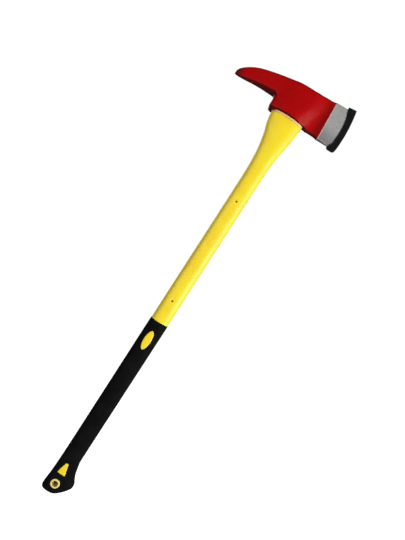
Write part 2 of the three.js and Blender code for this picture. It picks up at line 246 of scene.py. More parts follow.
# Sealing bead and resin
SEAL_EDGE = [(0, 1.5), (0.25, 0.7), (0.8, 0.2), (1.8, 0), (3.2, 0)]  # height, draw-in
SEAL_TOP_DRAW = 0.3
SEAL_WAVES = [(0.25, 5, 1), (0.2, 11, 0)]  # height, count, start
SEAL_WAVE_TOP = 2  # height that they end at
RESIN_SAG = 0.6  # of its rim below the head's top
RESIN_HOLLOW = 0.8  # of its middle below its rim
RESIN_POWER = 8  # of its hollow
RESIN_RINGS = np.array([1, 0.985, 0.95, 0.88, 0.76, 0.6, 0.4, 0.2, 0.02])  # shares of its width


# Curves


def smoothstep(low, high, value):
    t = np.clip((value - low) / (high - low), 0, 1)
    return t * t * (3 - 2 * t)


def smooth_table(rows, at):
    """The rows' later columns at places in the first, on a curve that never overshoots."""
    table = np.array(sorted(rows), float)
    x, y = table[:, 0], table[:, 1:]
    at = np.clip(np.asarray(at, float), x[0], x[-1])
    rise = np.diff(y, axis=0) / np.diff(x)[:, None]
    slope = np.vstack([rise[:1], np.zeros_like(y[1:-1]), rise[-1:]])
    before, after = rise[:-1], rise[1:]
    same = before * after > 0
    slope[1:-1][same] = 2 * before[same] * after[same] / (before[same] + after[same])
    k = np.clip(np.searchsorted(x, at) - 1, 0, len(x) - 2)
    step = (x[k + 1] - x[k])[..., None]
    t = (at - x[k])[..., None] / step
    value = y[k] * (1 + 2 * t) * (1 - t) ** 2 + slope[k] * step * t * (1 - t) ** 2
    value += y[k + 1] * t * t * (3 - 2 * t) - slope[k + 1] * step * t * t * (1 - t)
    return value


def bezier(a, b, c, steps):
    """Points of a curve from a to c that leaves towards b."""
    t = np.linspace(0, 1, steps + 1)[:, None]
    a, b, c = (np.array(p, float) for p in (a, b, c))
    return (1 - t) ** 2 * a + 2 * t * (1 - t) * b + t * t * c


def chain(*stretches):
    """Stretches of points joined into one line, without the repeated joints."""
    points = np.vstack([np.array(s, float) for s in stretches])
    step = np.linalg.norm(np.diff(points, axis=0), axis=1)
    return points[np.concatenate([[True], step > 1e-6])]


def resample(line, count):
    """count points evenly along a line."""
    length = np.concatenate([[0], np.cumsum(np.linalg.norm(np.diff(line, axis=0), axis=1))])
    at = np.linspace(0, length[-1], count)
    return np.stack([np.interp(at, length, line[:, k]) for k in range(line.shape[1])], -1)


def between(line, other, share):
    """The x and z of places at shares of the way from one line of points to another."""
    span = other - line
    return line[:, :1] + span[:, :1] * share, line[:, 1:] + span[:, 1:] * share


def arc(centre, radius, start, end, steps):
    turn = np.linspace(start, end, steps + 1)
    return np.stack([centre[0] + radius * np.cos(turn), centre[1] + radius * np.sin(turn)], -1)


def xyz(x, y, z):
    """Grid points from coordinates, each repeated where all share it."""
    return np.stack(np.broadcast_arrays(x, y, z), -1)


def even_turns(count):
    """A row of count evenly spaced angles, once round."""
    return 2 * math.pi * np.arange(count)[None] / count


def to_outline(points, outline):
    """How far side view points lie outside a closed outline, and the outline's nearest points."""
    a = outline
    b = np.roll(outline, -1, axis=0)
    found = np.full(len(points), np.inf)
    nearest = np.zeros_like(points)
    crossings = np.zeros(len(points), int)
    for p, q, d in zip(a, b, b - a):
        t = np.clip((points - p) @ d / max(d @ d, 1e-12), 0, 1)
        close = p + t[:, None] * d
        distance = np.linalg.norm(points - close, axis=1)
        better = distance < found
        found[better] = distance[better]
        nearest[better] = close[better]
        spans = (p[1] > points[:, 1]) != (q[1] > points[:, 1])
        if d[1]:
            crossings += spans & (points[:, 0] < p[0] + (points[:, 1] - p[1]) * d[0] / d[1])
    return np.where(crossings % 2 == 1, -found, found), nearest


def ripple(x, z, size, seed):
    """A smooth, repeatable unevenness from -1 to 1 over features of about the given size."""
    waves = 4
    total = 0
    for k in range(waves):
        turn = seed + 1.9 * k
        along = (x * math.cos(turn) + z * math.sin(turn)) * 2.4 / size * (1 + 0.3 * k)
        total = total + np.sin(along + 5 * turn)
    return total / waves


# Meshes


def add_object(name, data):
    added = bpy.data.objects.new(name, data)
    bpy.context.scene.collection.objects.link(added)
    return added


class Skin:
    """A closed surface put together from grids of points in millimetres."""

    def __init__(self):
        self.points = []
        self.faces = []
        self.count = 0

    def grid(self, points, keep=None):
        """Adds rows of points that close round on themselves. Returns the points' index."""
        rows, cols = points.shape[:2]
        index = np.arange(rows * cols).reshape(rows, cols) + self.count
        self.points.append(points.reshape(-1, 3))
        self.count += rows * cols
        beside = np.roll(index, -1, axis=1)
        quads = np.stack([index[:-1], beside[:-1], beside[1:], index[1:]], -1)
        self.faces += (quads.reshape(-1, 4) if keep is None else quads[keep]).tolist()
        return index

    def strip(self, one, other):
        """Joins two closed rows of points."""
        beside, across = np.roll(one, -1), np.roll(other, -1)
        self.faces += np.stack([one, beside, across, other], -1).tolist()

    def walls(self, keep, one, other):
        """Joins two grids round the cells that were left out of both."""
        for p, q in rim_edges(keep):
            self.faces.append([one[p], one[q], other[q], other[p]])

    def cap(self, row):
        """Closes a row of points with one face."""
        self.faces.append(row.tolist())

    def make(self, name, sharp):
        """A mesh object, smooth but for edges sharper than an angle in degrees."""
        mesh = bpy.data.meshes.new(name)
        points = np.vstack(self.points) * MM
        mesh.from_pydata(points.tolist(), [], [[int(i) for i in face] for face in self.faces])
        work = bmesh.new()
        work.from_mesh(mesh)
        bmesh.ops.remove_doubles(work, verts=work.verts, dist=1e-7)
        loose = [v for v in work.verts if not v.link_faces]
        bmesh.ops.delete(work, geom=loose, context="VERTS")
        bmesh.ops.recalc_face_normals(work, faces=work.faces)
        work.to_mesh(mesh)
        work.free()
        mesh.shade_smooth()
        mesh.set_sharp_from_angle(angle=math.radians(sharp))
        return add_object(name, mesh)


def one_grid(name, points, sharp, hollow=False):
    """A piece from one grid: its end rows are capped, or joined if it is hollow."""
    skin = Skin()
    index = skin.grid(points)
    if hollow:
        skin.strip(index[-1], index[0])
    else:
        skin.cap(index[0])
        skin.cap(index[-1])
    return skin.make(name, sharp)


def rim_edges(keep):
    """Pairs of grid places along the border between kept cells and the others."""
    cols = keep.shape[1]
    for i, j in zip(*np.nonzero(keep != np.roll(keep, -1, axis=1))):
        k = (j + 1) % cols
        yield (i, k), (i + 1, k)
    for i, j in zip(*np.nonzero(keep[:-1] != keep[1:])):
        yield (i + 1, j), (i + 1, (j + 1) % cols)


def cell_middles(values):
    """The mean over each cell of a closed grid's values at its four corners."""
    beside = np.roll(values, -1, 1)
    return (values[:-1] + values[1:] + beside[:-1] + beside[1:]) / 4


def kept_cells(x, y, z, outlines):
    """Which cells of a grid are off the handle's faces or outside every outline there."""
    centres = np.stack([cell_middles(x), cell_middles(z)], -1).reshape(-1, 2)
    facing = cell_middles((np.abs(y) > FACE_Y).astype(float)).reshape(-1) > 0.99
    keep = np.ones(len(centres), bool)
    for outline in outlines:
        low, high = outline.min(0), outline.max(0)
        near = facing & np.all((centres > low) & (centres < high), axis=1)
        keep[near] &= to_outline(centres[near], outline)[0] > 0
    return keep.reshape(x.shape[0] - 1, x.shape[1])


# Handle


def oval_window(grow=0):
    window = OVAL_WINDOW
    turn = np.linspace(0, 2 * math.pi, 72, endpoint=False)
    c, s = np.cos(turn), np.sin(turn)
    half_width, half_length = window["width"] / 2 + grow, window["length"] / 2 + grow
    return np.stack([
        half_width * np.sign(c) * np.abs(c) ** (2 / window["power"]),
        window["z"] + half_length * np.sign(s) * np.abs(s) ** (2 / window["power"]),
    ], -1)


def tear_window(grow=0):
    """A tear with a small round crown, leaning sides and a wide foot with round corners."""
    window = TEAR_WINDOW
    x, lean = window["x"], window["lean"]
    crown, corner = window["crown"] + grow, window["corner"] + grow
    reach = window["width"] / 2 - window["corner"]
    foot = window["foot"] + window["corner"]
    return chain(
        arc((x, window["top"] - window["crown"]), crown, lean, math.pi - lean, 14),
        arc((x - reach, foot), corner, math.pi - lean, 1.5 * math.pi, 8),
        arc((x + reach, foot), corner, 1.5 * math.pi, 2 * math.pi + lean, 8),
    )


def ring_hole():
    return arc((0, RING_Z), RING_RADIUS + RING_GAP, 0, 2 * math.pi, 72)[:-1]


def locator_hole(height):
    return arc((0, height), LOCATOR_RADIUS, 0, 2 * math.pi, 32)[:-1]


def heights_between(low, high, coarse, fine_spans, fine):
    """Heights from low to high, fine steps apart in the fine spans and coarse ones elsewhere."""
    spans = sorted((max(low, a), min(high, b)) for a, b in fine_spans if b > low and a < high)
    marks = [low, *[v for span in spans for v in span], high]
    heights = []
    for k, (a, b) in enumerate(zip(marks[:-1], marks[1:])):
        step = fine if k % 2 else coarse
        count = max(1, round((b - a) / step)) if b > a else 0
        heights += list(a + (b - a) * np.arange(count) / max(1, count))
    return np.array([*heights, high])


def section_turns(centre, length, power):
    """The turn of each column round an oval section, from +X over +Y and back."""
    face = np.linspace(1, -1, FACE_STEPS + 1)[None]
    reach = np.where(face > 0, FACE_SHARE * (centre + length), FACE_SHARE * (length - centre))
    share = np.clip((face * np.minimum(FACE_REACH, reach) - centre) / length, -1, 1)
    flat = np.arccos(np.sign(share) * np.abs(share) ** (power / 2))
    side = np.linspace(0, 1, SIDE_STEPS + 1)[None, :-1]
    ahead = flat[:, :1] * side
    behind = math.pi - (math.pi - flat[:, -1:]) * side[:, ::-1]
    half = np.concatenate([ahead, flat, behind], axis=1)
    return np.concatenate([half, -half[:, -2:0:-1]], axis=1)


def column(values, count):
    """A value, or one value for each of count rows, as a column."""
    return np.broadcast_to(np.asarray(values, float), (count,))[:, None]


def oval_columns(rows, power, inset):
    """The height, centre, half length, half depth and power of each oval row, as columns."""
    z, back, front, half = np.array(rows, float).T[:, :, None]
    power, inset = column(power, len(rows)), column(inset, len(rows))
    return z, (front - back) / 2, (front + back) / 2 - inset, half - inset, power


def oval_rows(rows, power, inset=0, turns=None):
    """The x, y and z of an oval surface: a row for each (height, back, front, half) in rows."""
    z, centre, length, half, power = oval_columns(rows, power, inset)
    turn = section_turns(centre, length, power) if turns is None else turns + 0 * centre
    c, s = np.cos(turn), np.sin(turn)
    s[np.abs(s) < 1e-9] = 0
    x = centre + length * np.sign(c) * np.abs(c) ** (2 / power)
    y = half * np.sign(s) * np.abs(s) ** (2 / power)
    return x, y, np.broadcast_to(z, x.shape).copy()


def near_outline(x, y, z, outline, reach):
    """Which points of the handle's faces lie in the box round an outline and its reach."""
    low, high = outline.min(0) - reach, outline.max(0) + reach
    return (x > low[0]) & (x < high[0]) & (z > low[1]) & (z < high[1]) & (np.abs(y) > FACE_Y)


def snap_to(outlines, x, y, z, rows, power, inset=0):
    """Moves points close to an outline onto it. Returns their y on the surface."""
    for outline in outlines:
        near = near_outline(x, y, z, outline, SNAP)
        distance, nearest = to_outline(np.stack([x[near], z[near]], -1), outline)
        move = np.abs(distance) < SNAP
        new_x, new_z = x[near], z[near]
        new_x[move], new_z[move] = nearest[move, 0], nearest[move, 1]
        x[near], z[near] = new_x, new_z
    _, centre, length, half, power = oval_columns(rows, power, inset)
    share = np.clip(1 - np.abs((x - centre) / length) ** power, 0, 1) ** (1 / power)
    return np.where(np.abs(y) > FACE_Y, np.sign(y) * half * share, y)


def outline_distance(outlines, x, y, z):
    """How far points lie outside the nearest outline, up to LIP_REACH."""
    distance = np.full(x.shape, float(LIP_REACH))
    for outline in outlines:
        near = near_outline(x, y, z, outline, LIP_REACH)
        found = to_outline(np.stack([x[near], z[near]], -1), outline)[0]
        distance[near] = np.minimum(distance[near], found)
    return distance


def round_lip(distance, radius):
    """How far a surface has dropped at a distance inside a rounded edge of that radius."""
    d = np.clip(distance, 0, radius)
    return radius - np.sqrt(np.maximum(radius**2 - (radius - d) ** 2, 0))


def grip_rows(heights):
    return np.column_stack([heights, smooth_table(GRIP, heights)])


def grip_power(heights):
    return np.interp(heights, BUTT_SPAN, [BUTT_POWER, HANDLE_POWER])


def grip_sleeve():
    """The rubber grip: an open-topped sleeve with windows and the hang hole in its wall."""
    heights = heights_between(BUTT, GRIP_TOP, GRIP_STEP, WINDOW_SPANS, WINDOW_STEP)
    rows, power = grip_rows(heights), grip_power(heights)
    x, y, z = oval_rows(rows, power)
    holes = [oval_window(), tear_window(), ring_hole()]
    y = snap_to(holes, x, y, z, rows, power)
    lip = round_lip(outline_distance(holes, x, y, z), WINDOW_LIP)
    lip += round_lip(GRIP_TOP - z, GRIP_TOP_LIP)
    x, y = x * (1 - lip * GRIP_LIP_PULL), y - np.sign(y) * lip
    keep = kept_cells(x, y, z, holes)
    inner_x, inner_y, _ = oval_rows(rows, power, GRIP_WALL - GRIP_GAP)
    inner_z = np.maximum(z, BUTT + GRIP_WALL)
    low = np.searchsorted(heights, BUTT + GRIP_WALL)
    skin = Skin()
    outer = skin.grid(xyz(x, y, z), keep)
    inner = skin.grid(xyz(inner_x, inner_y, inner_z)[low:], keep[low:])
    skin.walls(keep[low:], outer[low:], inner)
    skin.strip(outer[-1], inner[-1])
    skin.cap(outer[0])
    skin.cap(inner[0])
    return skin.make("grip_sleeve_rubber", 50)


def open_heights():
    """Heights of the jacket's rows from the grip's mouth to the shoulder's top."""
    spans = [(h - LOCATOR_SPAN, h + LOCATOR_SPAN) for h in LOCATOR_HEIGHTS]
    spans.append((FLARE_FOOT, SHOULDER_TOP))
    heights = heights_between(GRIP_TOP - GAP, SHOULDER_TOP, JACKET_STEP, spans, LOCATOR_STEP)
    below_flare = heights < FLARE_FOOT
    every_third = np.arange(len(heights)) % 3 == 0
    in_rim = heights > SHOULDER_TOP - SHOULDER_RIM
    return heights[below_flare | every_third | in_rim]


def jacket_profile():
    """The jacket's rows, their power and inset, and how many of them the grip covers."""
    under = heights_between(BUTT + GRIP_WALL, GRIP_TOP - GAP, GRIP_STEP, WINDOW_SPANS, WINDOW_STEP)
    above = open_heights()
    tongue = np.array([SHOULDER_TOP, 0, 20, 40, TONGUE_TOP - 1, TONGUE_TOP])
    rows = np.vstack([
        grip_rows(under),
        np.column_stack([above, smooth_table(SHOULDER, above)]),
        np.column_stack([tongue, smooth_table(TONGUE, tongue)]),
    ])
    power = np.concatenate([
        grip_power(under),
        np.full(len(above), HANDLE_POWER),
        np.full(len(tongue), EYE["power"]),
    ])
    inset = np.concatenate([
        np.full(len(under), GRIP_WALL),
        round_lip(above - (GRIP_TOP - GAP), JACKET_LIP) + round_lip(SHOULDER_TOP - above, SHOULDER_LIP),
        np.zeros(len(tongue)),
    ])
    return rows, power, inset, len(under)


def jacket_bore(rows, z):
    """The hole for the rod, with a point for each of the jacket's."""
    reach, half = CORE_HIGH[0] + GAP, CORE_HIGH[1] + GAP
    x, y, _ = oval_rows([(height, reach, reach, half) for height in rows[:, 0]], CORE_POWER)
    return xyz(x, y, z)


def handle_jacket():
    """The yellow moulding, with bosses in the grip's windows, locator holes and a tongue."""
    rows, power, inset, under_count = jacket_profile()
    x, y, z = oval_rows(rows, power, inset)
    bosses = [oval_window(-BOSS_GAP), tear_window(-BOSS_GAP)]
    holes = [ring_hole(), *[locator_hole(h) for h in LOCATOR_HEIGHTS]]
    y = snap_to([*bosses, *holes], x, y, z, rows, power, inset)
    inside = -outline_distance(bosses, x, y, z)
    under = np.arange(len(rows))[:, None] < under_count
    rise = np.where(under & (inside > -1e-6), GRIP_WALL - BOSS_SINK - round_lip(inside, BOSS_LIP), 0)
    y = y + np.sign(y) * rise
    seam = np.exp(-((y / SEAM_SPREAD) ** 2)) * SEAM_RISE * ~under
    x = x + np.sign(x) * seam
    keep = kept_cells(x, y, z, holes)
    low = np.searchsorted(rows[:, 0], CORE_LOW[2] - GAP)
    skin = Skin()
    outer = skin.grid(xyz(x, y, z), keep)
    bore = skin.grid(jacket_bore(rows, z)[low:], keep[low:])
    skin.walls(keep[low:], outer[low:], bore)
    near_side = keep[:low].copy()
    near_side[:, COLUMNS // 2:] = True
    skin.walls(near_side, outer, outer[:, -np.arange(COLUMNS)])
    skin.strip(outer[-1], bore[-1])
    skin.cap(outer[0])
    skin.cap(bore[0])
    return skin.make("handle_jacket_moulding", 40)


def hang_bushing():
    """The ring in the hang hole: a plain bush with a raised, rounded rim on each side."""
    inner, outer, fall, depth = RING_RIM
    r, b, reach = RING_RADIUS, RING_BORE, RING_HIGH[1]
    rim = chain(
        [(b, 0), (b, reach - inner)],
        bezier((b, reach - inner), (b, reach), (b + inner, reach), 5),
        bezier((r - outer, reach - fall), (r, reach - 2 * fall), (r, reach - depth), 6),
        [(r, 0)],
    )
    profile = np.vstack([rim, rim[::-1][1:-1] * [1, -1]])
    radius, along = profile[:, :1], profile[:, 1:]
    turn = even_turns(72)
    points = xyz(radius * np.cos(turn), along, RING_Z + radius * np.sin(turn))
    return one_grid("hang_hole_ring", points, 50, hollow=True)


# Head


def edge_x(z):
    """The cutting edge's curve."""
    return EDGE_X - (z - EDGE_CROWN_Z) ** 2 / (2 * EDGE_RADIUS)


def upper_z(x):
    return smooth_table(TOP_LINE, x)[..., 0]


def eye_half(x, z):
    """Half the eye's width at a place along the head, and 0 beyond its ends."""
    share = 1 - (np.abs(x - EYE["centre"]) / EYE["half_length"]) ** EYE["power"]
    share = np.where(share < 1e-6, 0, share)
    return (EYE["half_width"] + EYE["growth"] * z) * share ** (1 / EYE["power"])


def head_half(x, z):
    """Half the head's thickness before its edges are rounded."""
    behind = smooth_table(PICK_HALF, np.minimum(x, SWELL_X))[..., 0]
    rise = np.clip(z / FLANK_LEAN_HEIGHT, 0, 1)
    middle = FLANK_X + FLANK_LEAN * np.sin(rise * math.pi / 2)
    fall = smoothstep(middle - FLANK_LENGTH / 2, middle + FLANK_LENGTH / 2, x)
    start = BEVEL_X + BEVEL_LEAN * z
    hollow = BLADE_HOLLOW * fall * (1 - smoothstep(start - HOLLOW_FADE, start, x))
    cheek = SWELL_HALF + (BLADE_HALF - SWELL_HALF) * fall - hollow
    ground = np.clip((x - start) / (edge_x(z) - start), 0, 1)
    bevel = BLADE_HALF + (EDGE_HALF - BLADE_HALF) * ground**BEVEL_POWER
    ahead = np.where(x < start, cheek, bevel)
    return np.where(x < SWELL_X, behind, ahead)


def lower_line():
    """The head's lower outline in three stretches: pick, back wall, and lug to edge."""
    pick_x = np.linspace(TIP_X, PICK_LINE[-1][0], 60)
    pick = np.column_stack([pick_x, smooth_table(PICK_LINE, pick_x)])
    root_z = PICK_LINE[-1][1]
    lug_x = BACK_X + LUG_RADIUS
    back = chain(
        bezier(pick[-1], (BACK_X, root_z), (BACK_X, root_z - NOTCH_RADIUS), 8),
        bezier((BACK_X, 4), (BACK_X + 0.3, LUG_Z), (lug_x, LUG_Z), 10),
    )
    under = chain(
        [(lug_x, LUG_Z), (-37.5, LUG_Z)],
        bezier((-37.5, LUG_Z), (-34, LUG_Z), (-31.5, -1), 6),
        bezier((-31.5, -1), (-29.5, 0), (-26, 0), 6),
        bezier((28, 0), (32, 0), (36.5, UNDER_Z), 6),
        [(66, UNDER_Z)],
        bezier((66, UNDER_Z), (78, UNDER_Z - 0.2), (86, -3.2), 8),
        bezier((86, -3.2), (92, TOE_Z), (97, TOE_Z), 8),
        bezier((97, TOE_Z), (101.2, TOE_Z), (edge_x(-1), -1), 8),
    )
    return pick, back, under


def head_ribs():
    """Lower and upper ends of the ribs that the head's surface is drawn over."""
    pick, back, under = lower_line()
    root_x = pick[-1, 0]
    pick_x = TIP_X + (root_x - TIP_X) * np.linspace(0, 1, RIBS["pick"]) ** TIP_CROWDING
    pick_low = np.column_stack([pick_x, smooth_table(PICK_LINE, pick_x)])

    back_low = resample(back, RIBS["back"])[1:]
    back_x = np.linspace(root_x, back_low[-1, 0], RIBS["back"])[1:]

    eye_x = EYE["centre"] - EYE["half_length"] * np.cos(np.linspace(0, math.pi, RIBS["eye"]))
    lug_x = np.linspace(back_low[-1, 0], eye_x[0], RIBS["lug"])[1:-1]
    blade_x = np.linspace(eye_x[-1], BEVEL_X, RIBS["blade"])[1:]
    cheek_x = np.concatenate([lug_x, eye_x, blade_x])
    cheek_low = np.column_stack([cheek_x, np.interp(cheek_x, under[:, 0], under[:, 1])])
    bevel_top_x = BEVEL_X + BEVEL_LEAN * BEVEL_TOP_Z
    lean = np.clip((cheek_x - eye_x[-1]) / (BEVEL_X - eye_x[-1]), 0, 1)
    cheek_x = cheek_x + (bevel_top_x - BEVEL_X) * lean

    start = int(np.argmax(under[:, 0] > BEVEL_X))
    bevel_low = resample(chain([(BEVEL_X, UNDER_Z)], under[start:]), RIBS["bevel"])[1:]
    bevel_x = np.linspace(bevel_top_x, edge_x(TOP_CORNER_Z), RIBS["bevel"])[1:]

    low = np.vstack([pick_low, back_low, cheek_low, bevel_low])
    top_x = np.concatenate([pick_x, back_x, cheek_x, bevel_x])
    return low, np.column_stack([top_x, np.minimum(upper_z(top_x), TOP_CORNER_Z)])


def rib_shares(length):
    """Shares along each rib, close together at its two rounded ends."""
    end = (1 - np.cos(np.linspace(0, math.pi / 2, RIB_END_STEPS))) * RIB_END
    rows = []
    for one in length:
        near = end * min(1, one / SHORT_RIB)
        middle = np.linspace(near[-1], one - near[-1], RIB_MIDDLE_STEPS)[1:-1]
        rows.append(np.concatenate([near, middle, one - near[::-1]]) / one)
    return np.array(rows)


def rib_grid():
    """The x and z of points along the head's ribs. Near the edge the ribs bend as it does."""
    low, top = head_ribs()
    share = rib_shares(np.linalg.norm(top - low, axis=1))
    x, z = between(low, top, share)
    low_gap = low[:, :1] - edge_x(low[:, 1:])
    top_gap = top[:, :1] - edge_x(top[:, 1:])
    bent = edge_x(z) + low_gap + (top_gap - low_gap) * share
    near_edge = smoothstep(BEVEL_X, EDGE_X - BEND_REACH, low[:, 0])[:, None]
    return x + near_edge * (bent - x), z


def rib_depth(x, z):
    """How far the points along the ribs lie inside the head's outline."""
    side = np.stack([x, z], -1)
    outline = np.vstack([side[:, 0], side[-1, 1:-1], side[::-1, -1]])
    depth = -to_outline(side.reshape(-1, 2), outline)[0].reshape(x.shape)
    depth[:, [0, -1]] = 0
    return depth


def edge_round(x, z):
    """How far in the head's edges start to round, and how deep they round."""
    pick_middle = (smooth_table(PICK_LINE, x)[..., 0] + upper_z(x)) / 2
    middle = np.where(x < BACK_X, pick_middle, HEAD_MIDDLE_Z)
    below = smoothstep(middle + EDGE_BLEND, middle - EDGE_BLEND, z)
    upper = np.interp(x, *zip(*UPPER_ROUND))
    lower = np.interp(x, *zip(*LOWER_ROUND))
    width = upper + (lower - upper) * below
    return width, width * (UPPER_DROP + (LOWER_DROP - UPPER_DROP) * below)


def cheek_y(x, z):
    """Half the head's thickness along its ribs, with rounded edges and forged cheeks."""
    half = head_half(x, z)
    width, drop = edge_round(x, z)
    eye = eye_half(x, z)
    room = np.where(eye > 0, half - eye - EYE_RIM, half)
    drop = np.clip(drop, LEAST_DROP, np.minimum(half * MOST_DROP, np.maximum(room, EYE_DROP)))
    uneven = sum(height * ripple(x, z, size, seed) for height, size, seed in FORGED_WAVES)
    painted = 1 - smoothstep(-FORGED_FADE, 0, x - BEVEL_X - BEVEL_LEAN * z)
    half = half + uneven * painted * np.clip(half / FORGED_HALF, 0, 1)
    return half - drop * np.clip(1 - rib_depth(x, z) / width, 0, 1) ** EDGE_FALL


def face_columns(x, half, z):
    """Places across the top or underside: from each edge to the eye, and across the eye."""
    half, eye = half[:, None], eye_half(x, z)[:, None]
    side = np.linspace(0, 1, SIDE_COLUMNS + 2)[None, 1:]
    inside = np.linspace(-1, 1, SIDE_COLUMNS + 2)[None, 1:-1]
    rim = (half - eye) * side
    return np.concatenate([-half + rim, inside * eye, half - rim[:, ::-1]], axis=1)


def head_forging():
    """The head: a skin round all its ribs, with the eye driven through."""
    x, z = rib_grid()
    y = cheek_y(x, z)
    top_y = face_columns(x[:, -1], y[:, -1], z[:, -1])
    low_y = face_columns(x[:, 0], y[:, 0], z[:, 0])[:, ::-1]
    points = np.concatenate([
        xyz(x, -y, z),
        xyz(x[:, -1:], top_y, z[:, -1:]),
        xyz(x, y, z)[:, ::-1],
        xyz(x[:, :1], low_y, z[:, :1]),
    ], axis=1)
    cheek, face = x.shape[1], top_y.shape[1]
    top_columns = np.arange(cheek, cheek + face)
    low_columns = np.arange(2 * cheek + face, 2 * cheek + 2 * face)[::-1]
    in_eye = eye_half(x[:, 0], z[:, 0]) > 0
    in_eye = (in_eye[:-1] | in_eye[1:])[:, None]
    across = np.arange(SIDE_COLUMNS, face - 1 - SIDE_COLUMNS)
    keep = np.ones((len(points) - 1, points.shape[1]), bool)
    keep[:, top_columns[across]] = ~in_eye
    keep[:, low_columns[across + 1]] = ~in_eye
    partner = np.arange(points.shape[1])
    partner[top_columns] = low_columns
    skin = Skin()
    index = skin.grid(points, keep)
    eye_walls = keep.copy()
    eye_walls[:, low_columns[1:]] = True
    skin.walls(eye_walls, index, index[:, partner])
    skin.cap(index[0])
    skin.cap(index[-1])
    return skin.make("axe_head_forging", 32)


# Fillings in the eye


def tongue_section(height):
    """The tongue's reach back, reach forward and half depth at a height, with a gap round it."""
    return smooth_table(TONGUE, [height])[0] + GAP


def eye_seal():
    """The bead between the shoulder and the eye, slightly uneven where it was pressed in."""
    back, front, half = -SEAL_LOW[0], SEAL_HIGH[0], SEAL_HIGH[1]
    low, high = SEAL_LOW[2], SEAL_HIGH[2]
    outside = [(low + rise, draw) for rise, draw in SEAL_EDGE] + [(high, SEAL_TOP_DRAW)]
    rows = [(z, back - draw, front - draw, half - draw) for z, draw in outside]
    rows += [(z, *tongue_section(0)) for z in (high, low + 3, low)]
    points = xyz(*oval_rows(rows, EYE["power"], turns=even_turns(96)))
    piece = one_grid("eye_sealing_bead", points, 50, hollow=True)
    for vertex in piece.data.vertices:
        p = vertex.co / MM
        if low + 0.01 < p.z < low + SEAL_WAVE_TOP:
            turn = math.atan2(p.y, p.x)
            rise = sum(height * math.sin(count * turn + start) for height, count, start in SEAL_WAVES)
            vertex.co.z += rise * MM
    return piece


def eye_resin():
    """The resin round and over the tongue, with a shallow meniscus."""
    back, front, half = -RESIN_LOW[0], RESIN_HIGH[0], RESIN_HIGH[1]
    low = RESIN_LOW[2]
    draws = (RESIN_HIGH[0] - RESIN_LOW[0]) / 2 * (1 - RESIN_RINGS)
    rings = [(back - draw, front - draw, half * share) for draw, share in zip(draws, RESIN_RINGS)]
    rows = [
        (TONGUE_TOP + GAP, *rings[-1]),
        (TONGUE_TOP + GAP, *tongue_section(TONGUE_TOP)),
        (low, *tongue_section(low)),
        (low, *rings[0]),
        (TONGUE_TOP - 2, *rings[0]),
        *[(TONGUE_TOP, *ring) for ring in rings],
    ]
    x, y, z = oval_rows(rows, EYE["power"], turns=even_turns(96))
    sag = RESIN_SAG + RESIN_HOLLOW * (1 - RESIN_RINGS**RESIN_POWER)
    z[-len(rings):] = upper_z(x[-len(rings):]) - sag[:, None]
    return one_grid("eye_bonding_resin", xyz(x, y, z), 50)


# Blade guard


def nose_x(z):
    """The guard's nose, which runs beside the cutting edge."""
    return edge_x(z) + GUARD_HIGH[0] - EDGE_X


def guard_lines():
    """The guard's lips and its nose in the side view, from top to toe."""
    nose_z = np.linspace(GUARD_TOP, 5, 50)
    nose = chain(
        np.column_stack([nose_x(nose_z), nose_z]),
        bezier((nose_x(5), 5), (nose_x(0), GUARD_TOE), (100, GUARD_TOE), 16),
        [(92, GUARD_TOE)],
        bezier((92, GUARD_TOE), (88.6, GUARD_TOE), (87.4, GUARD_TOE + 3.2), 8),
    )
    lip_z = np.linspace(GUARD_LIP[0][0], GUARD_LIP[-1][0], 50)
    lip = chain(
        np.column_stack([smooth_table(GUARD_LIP, lip_z)[..., 0], lip_z]),
        bezier((91.4, 3.2), (90, 0.6), (88.6, -1.6), 6),
        bezier((88.6, -1.6), (87.3, -3.6), (87, GUARD_TOE + 3.6), 6),
    )
    return resample(lip, 90), resample(nose, 90)


def blade_beside(x, z):
    """Half the blade's thickness at the blade's nearest place."""
    return head_half(np.minimum(x, edge_x(z)), np.clip(z, TOE_Z, TOP_CORNER_Z))


def blade_guard():
    """The rubber strip: a U section swept along the cutting edge and round the toe."""
    lip, nose = guard_lines()
    length = np.linalg.norm(nose - lip, axis=1)[:, None]
    outer = np.concatenate([
        np.linspace(0, 0.12, 5),
        np.linspace(0.12, 0.7, 6)[1:],
        np.linspace(0.7, 1, 9)[1:],
    ])
    x, z = between(lip, nose, outer[None])
    body = blade_beside(x, z) + GUARD_SIDE
    to_nose = (1 - outer[None]) * length
    nose_round = np.sqrt(np.maximum(body**2 - np.maximum(body - to_nose, 0) ** 2, 0))
    y = np.minimum(body, nose_round) - round_lip(outer[None] * length, GUARD_ROUND)

    slot_depth = 1 - GUARD_FLOOR / np.maximum(length, GUARD_FLOOR + SLOT_LEAST)
    slot_x, slot_z = between(lip, nose, slot_depth * np.linspace(0, 1, 9)[None])
    slot = blade_beside(slot_x, slot_z) + SLOT_GAP
    slot[:, -1] *= SLOT_TAPER
    sheets = [
        xyz(x, -y, z),
        xyz(x, y, z)[:, ::-1][:, 1:],
        xyz(slot_x, slot, slot_z),
        xyz(slot_x, -slot, slot_z)[:, ::-1],
    ]
    return one_grid("blade_guard_strip", np.concatenate(sheets, axis=1), 40)


# Materials

